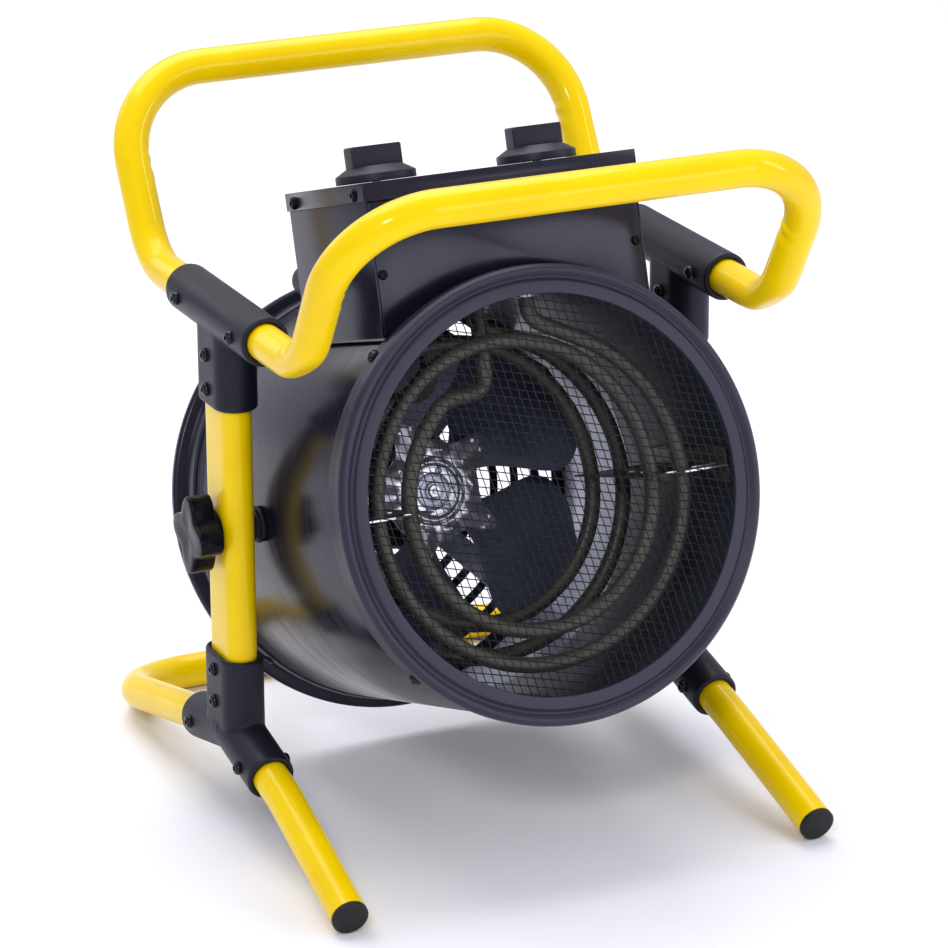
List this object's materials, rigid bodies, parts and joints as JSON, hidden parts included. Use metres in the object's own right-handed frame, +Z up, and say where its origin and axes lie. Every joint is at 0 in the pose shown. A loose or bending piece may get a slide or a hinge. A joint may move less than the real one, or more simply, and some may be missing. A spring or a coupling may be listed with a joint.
{
  "type": "fan heater",
  "caption": "Portable electric fan heater: a round drum with heating coils, fan and control box, tilting on a tubular stand with carrying handles",
  "frame": {"origin": "on the floor, under the centre of the bounding box", "axes": "+Z up; the heater blows towards -Y, so its front faces -Y; +X is on the right of someone who looks at its front"},
  "size_m": [0.403, 0.4676, 0.4936],
  "materials": {
    "yellow_frame": "glossy yellow powder coat on steel tube",
    "black_tee": "satin black moulded plastic",
    "bolt_steel": "black oxide steel, pan heads with a hexagon socket",
    "rubber": "matt black rubber",
    "drum_black": "semi-gloss black powder coat on sheet steel",
    "ring_grey": "satin dark blue-grey powder coat on rolled sheet steel",
    "grille_wire": "darkened steel wire mesh",
    "pale_sheet": "plain galvanised sheet, a little reflective",
    "element_steel": "heat-tinted olive-grey stainless sheath",
    "bright_metal": "bright pressed aluminium",
    "motor_black": "black enamel",
    "pale_ceramic": "unglazed pale ceramic",
    "knob_black": "satin black moulded plastic",
    "star_knob": "glossy black moulded plastic"
  },
  "bodies": {
    "frame": {"front_handle": "yellow_frame", "front_left_foot": "yellow_frame", "front_right_foot": "yellow_frame", "left_foot_cap": "rubber", "left_foot_front_bolt": "bolt_steel", "left_foot_lower_bolt": "bolt_steel", "left_foot_rear_bolt": "bolt_steel", "left_foot_tee": "black_tee", "left_foot_upper_bolt": "bolt_steel", "left_pivot_spacer": "black_tee", "left_top_front_bolt": "bolt_steel", "left_top_lower_bolt": "bolt_steel", "left_top_rear_bolt": "bolt_steel", "left_top_tee": "black_tee", "left_top_upper_bolt": "bolt_steel", "left_upright": "yellow_frame", "rear_foot": "yellow_frame", "rear_handle": "yellow_frame", "right_foot_cap": "rubber", "right_foot_front_bolt": "bolt_steel", "right_foot_lower_bolt": "bolt_steel", "right_foot_rear_bolt": "bolt_steel", "right_foot_tee": "black_tee", "right_foot_upper_bolt": "bolt_steel", "right_pivot_spacer": "black_tee", "right_top_front_bolt": "bolt_steel", "right_top_lower_bolt": "bolt_steel", "right_top_rear_bolt": "bolt_steel", "right_top_tee": "black_tee", "right_top_upper_bolt": "bolt_steel", "right_upright": "yellow_frame"},
    "drum": {"box_front_panel": "drum_black", "box_lid": "drum_black", "cable_gland": "rubber", "control_box": "drum_black", "drum_shell": "drum_black", "fan_motor": "motor_black", "front_element": "element_steel", "front_grille": "grille_wire", "front_ring": "ring_grey", "heat_liner": "pale_sheet", "left_element_bracket": "pale_sheet", "left_pivot_bolt": "bolt_steel", "motor_bracket": "pale_sheet", "overheat_cutout": "bright_metal", "rear_element": "element_steel", "rear_guard": "drum_black", "rear_rim": "drum_black", "right_element_bracket": "pale_sheet", "right_pivot_bolt": "bolt_steel", "selector_switch": "pale_ceramic", "terminal_block": "pale_ceramic", "thermostat_body": "bright_metal"},
    "fan": {"fan_rotor": "bright_metal", "motor_shaft": "bright_metal"},
    "selector": {"selector_knob": "knob_black"},
    "thermostat": {"thermostat_knob": "knob_black"},
    "left_clamp": {"left_star_knob": "star_knob"},
    "right_clamp": {"right_star_knob": "star_knob"}
  },
  "joints": [
    {"name": "drum_tilt", "type": "hinge", "parent": "frame", "child": "drum", "pos_m": [0, -0.02037, 0.2132], "axis": [-1, 0, 0], "range_deg": [-42, 12]},
    {"name": "fan_spin", "type": "hinge", "parent": "drum", "child": "fan", "pos_m": [0, 0.02884, 0.19801], "axis": [0, -0.9555, 0.2949], "continuous": true},
    {"name": "selector_turn", "type": "hinge", "parent": "drum", "child": "selector", "pos_m": [-0.0593, -0.01896, 0.44667], "axis": [0, 0.2949, 0.9555], "range_deg": [-60, 120]},
    {"name": "thermostat_turn", "type": "hinge", "parent": "drum", "child": "thermostat", "pos_m": [0.0593, -0.01896, 0.44667], "axis": [0, 0.2949, 0.9555], "range_deg": [-135, 135]},
    {"name": "left_clamp_turn", "type": "hinge", "parent": "drum", "child": "left_clamp", "pos_m": [-0.1905, -0.02037, 0.2132], "axis": [-1, 0, 0], "continuous": true},
    {"name": "right_clamp_turn", "type": "hinge", "parent": "drum", "child": "right_clamp", "pos_m": [0.1905, -0.02037, 0.2132], "axis": [1, 0, 0], "continuous": true}
  ]
}
